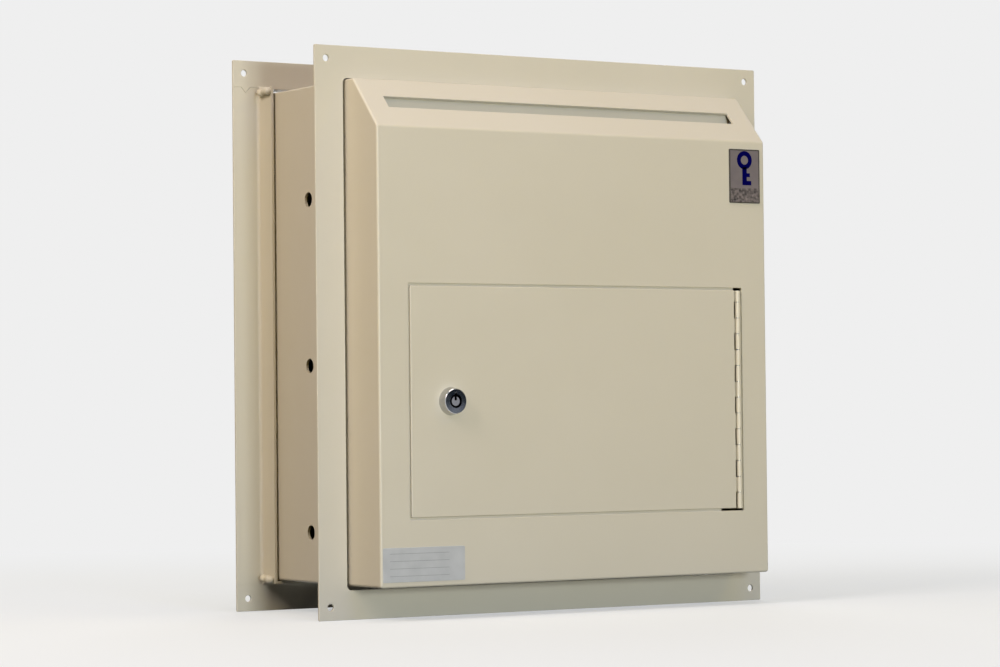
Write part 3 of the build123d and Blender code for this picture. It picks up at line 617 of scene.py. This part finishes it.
label = {
    "corner": 1.0 * mm,
    "edge": 0.12 * mm,          # rounding of the film's edge
    "ruleInset": 6.0 * mm,      # from the label's left edge to the rules
    "Rules": 4,                 # this and the next four are the inputs of the tree below
    "RuleLength": 52.0 * mm,
    "RuleWidth": 0.3 * mm,
    "RulePitch": 5.6 * mm,
    "Print": 0.04 * mm,
}


def ruleTree(sizes, material):   # plain ruled lines, one below the other
    tree, given = newTree("labelRuleTree", sizes)
    step = addNode(tree, "ShaderNodeMath", {
        0: given["RulePitch"], 1: -1.0}, operation="MULTIPLY")[0]
    down = addNode(tree, "ShaderNodeCombineXYZ", {"Z": step})[0]
    rows = addNode(tree, "GeometryNodeMeshLine", {"Count": given["Rules"], "Offset": down})[0]
    size = addNode(tree, "ShaderNodeCombineXYZ", {
        "X": given["RuleLength"], "Y": given["Print"], "Z": given["RuleWidth"]})[0]
    bar = addNode(tree, "GeometryNodeMeshCube", {"Size": size})[0]
    lines = addNode(tree, "GeometryNodeInstanceOnPoints", {"Points": rows, "Instance": bar})[0]
    placed = addNode(tree, "GeometryNodeInstanceOnPoints", {
        "Points": given["Guide"], "Instance": lines})[0]
    endTree(tree, placed, material)
    return tree


def makeLabel(look):
    low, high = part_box("data_label")
    film = [roundedOutline(low, high, inset, look["corner"], y)
            for inset, y in ((0, high.y), (0, low.y + look["edge"]), (look["edge"], low.y))]
    piece = settle(loftedPiece("labelSheet", [(film, False)], labelFilm), "box")
    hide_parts("data_label")
    sizes = {name: value for name, value in look.items() if name[0].isupper()}
    top = (low.z + high.z + look["RulePitch"] * (look["Rules"] - 1)) / 2
    start = Vector((low.x + look["ruleInset"] + look["RuleLength"] / 2, low.y, top))
    rules = growPiece("labelRules", ruleTree(sizes, labelInk), sizes, [start])
    settle(rules, "box")


makeLabel(label)
print("badge and label made")


# Camera and light

cameraView = {
    "place": Vector((-1.3758, -2.1107, -0.0628)),
    "yaw": 32.284,     # degrees to the right of straight at the wall
    "pitch": 1.435,    # degrees upwards
    "roll": -0.584,
    "lens": 114.89,    # in mm, on a sensor of the next width
    "sensor": 36,
    "nearest": 0.05,   # metres; nothing nearer shows
}


def makeCamera(view):
    camera = bpy.data.objects.new("camera", bpy.data.cameras.new("camera"))
    camera.data.sensor_fit = "HORIZONTAL"
    camera.data.sensor_width = view["sensor"]
    camera.data.lens = view["lens"]
    camera.data.clip_start = view["nearest"]
    turn = Matrix.Rotation(math.radians(-view["yaw"]), 4, "Z")
    tilt = Matrix.Rotation(math.radians(90 + view["pitch"]), 4, "X")
    roll = Matrix.Rotation(math.radians(view["roll"]), 4, "Z")
    camera.matrix_world = Matrix.Translation(view["place"]) @ turn @ tilt @ roll
    bpy.context.scene.collection.objects.link(camera)
    bpy.context.scene.camera = camera


lamps = {   # place, what it faces, size, watts and colour
    "frontSoftbox": ((-0.6, -2.8, 0.05), (0.0, 0.0, 0.0), 0.5, 50.0, "#F1F9F7"),
    "frontFill": ((-1.2, -2.0, 1.6), (0.0, 0.0, 0.0), 0.8, 6.0, "#FFE050"),
    "leftSoftbox": ((-1.95, -0.5, 1.5), (0.0, 0.0, 0.0), 1.0, 37.0, "#FFF1EA"),
    "leftFill": ((-2.5, 0.3, 1.1), (0.0, 0.0, 0.0), 0.8, 9.0, "#FFDC70"),
    "rightSoftbox": ((1.1, -1.5, 1.5), (0.0, 0.0, 0.0), 0.7, 6.5, "#FFE070"),
    "topSoftbox": ((0.0, -0.5, 2.2), (0.0, 0.0, 0.1), 1.2, 14.0, "#FFF0E4"),
    "highFill": ((-0.3, -2.4, 1.4), (0.0, 0.0, 0.0), 0.8, 9.0, "#4A7CFF"),
    "roomFill": ((1.5, 2.4, 0.5), (0.0, 0.0, 0.0), 1.4, 65.0, "#FFFFFF"),
}


def makeLamps(table):
    for name, (place, aim, size, power, colour) in table.items():
        lamp = bpy.data.objects.new(name, bpy.data.lights.new(name, "AREA"))
        lamp.data.size = size
        lamp.data.energy = power
        lamp.data.color = linear(colour)[:3]
        lamp.location = place
        lamp.rotation_euler = (Vector(aim) - Vector(place)).to_track_quat("-Z", "Y").to_euler()
        bpy.context.scene.collection.objects.link(lamp)


backdropColour = "#EFEFEF"
roomLight = {"colour": "#FFFFFF", "strength": 0.04}


def seenDirectly(tree):   # 1 for camera, mirror and glass rays, which see the plain backdrop
    path = addNode(tree, "ShaderNodeLightPath")
    mirror = addNode(tree, "ShaderNodeMath", {
        0: path["Is Glossy Ray"], 1: path["Is Transmission Ray"]}, operation="MAXIMUM")[0]
    return addNode(tree, "ShaderNodeMath", {
        0: path["Is Camera Ray"], 1: mirror}, operation="MAXIMUM")[0]


def makeWorld(look):
    world = bpy.data.worlds.new("studio")
    bpy.context.scene.world = world
    world.use_nodes = True
    tree = world.node_tree
    tree.nodes.clear()
    room = addNode(tree, "ShaderNodeBackground", {
        "Color": linear(look["colour"]), "Strength": look["strength"]})[0]
    shown = addNode(tree, "ShaderNodeBackground", {"Color": linear(backdropColour)})[0]
    either = addNode(tree, "ShaderNodeMixShader", {0: seenDirectly(tree), 1: room, 2: shown})[0]
    addNode(tree, "ShaderNodeOutputWorld", {"Surface": either})


def stageSheet(name, size, middle, turn, material):   # a square sheet that isn't part of the object
    half = size / 2
    corners = [(-half, -half, 0), (half, -half, 0), (half, half, 0), (-half, half, 0)]
    mesh = bpy.data.meshes.new(name)
    mesh.from_pydata([middle + turn @ Vector(corner) for corner in corners], [], [(0, 1, 2, 3)])
    mesh.materials.append(material)
    sheet = showMesh(name, mesh)
    return sheet


floorLook = {
    "frontPaper": "#A09034",   # what the floor sends back up to the box, on the street side
    "rearPaper": "#202020",    # and on the room side
    "turn": (-0.3, -0.05),     # Y between which one paper turns into the other
    "shadowPaper": "#ECF3F7",
    "shadowShare": 0.45,       # how strongly the shadow shows near the box
    "fadeFrom": 0.35,          # metres from the origin at which the shadow starts to fade
    "fadeTo": 1.3,             # and at which only the backdrop's colour is left
    "size": 8.0,
}


def makeFloor(look):   # studio paper: the backdrop's pale colour, with a soft shadow near the box
    material, tree, place = startMaterial("floorPaper")
    distance = addNode(tree, "ShaderNodeVectorMath", {0: place}, operation="LENGTH")["Value"]
    near = addNode(tree, "ShaderNodeMapRange", {
        "Value": distance, "From Min": look["fadeFrom"], "From Max": look["fadeTo"],
        "To Min": look["shadowShare"], "To Max": 0.0})[0]
    glow = addNode(tree, "ShaderNodeEmission", {"Color": linear(backdropColour)})[0]
    lit = addNode(tree, "ShaderNodeBsdfDiffuse", {"Color": linear(look["shadowPaper"])})[0]
    seen = addNode(tree, "ShaderNodeMixShader", {0: near, 1: glow, 2: lit})[0]
    along = addNode(tree, "ShaderNodeSeparateXYZ", {"Vector": place})["Y"]
    paper = turnColour(tree, along, look["turn"], look["frontPaper"], look["rearPaper"])
    sent = addNode(tree, "ShaderNodeBsdfDiffuse", {"Color": paper})[0]
    either = addNode(tree, "ShaderNodeMixShader", {0: seenDirectly(tree), 1: sent, 2: seen})[0]
    addNode(tree, "ShaderNodeOutputMaterial", {"Surface": either})
    stageSheet("floor", look["size"], Vector((0, 0, cadBox[0][2])), Quaternion(), material)


paintedReflectionCard = {   # glowing card, no lamp: hangs to the right in front of the door and shows only in reflections, a painted dark reflection in the lock's face
    "middle": (0.34, -0.84, 0.03),
    "size": 0.44,
    "upper": "#101C28",
    "lower": "#868E9C",
    "turn": (-0.14, -0.06),    # heights between which the lower colour turns into the upper
}


def makeCard(look):   # glowing card that gives its own colour, whatever lights it: a painted reflection, unseen by the camera
    material, tree, place = startMaterial("paintedReflectionCard")
    height = addNode(tree, "ShaderNodeSeparateXYZ", {"Vector": place})["Z"]
    colour = turnColour(tree, height, look["turn"], look["lower"], look["upper"])
    glow = addNode(tree, "ShaderNodeEmission", {"Color": colour})[0]
    addNode(tree, "ShaderNodeOutputMaterial", {"Surface": glow})
    middle = Vector(look["middle"])
    facing = (frontLockCentre - middle).to_track_quat("Z", "Y")
    card = stageSheet("paintedReflectionCard", look["size"], middle, facing, material)
    card.visible_camera = card.visible_diffuse = card.visible_shadow = False


bpy.context.scene.view_settings.view_transform = "Standard"
makeCamera(cameraView)
makeLamps(lamps)
makeWorld(roomLight)
makeFloor(floorLook)
makeCard(paintedReflectionCard)
print("camera, lamps and floor made")
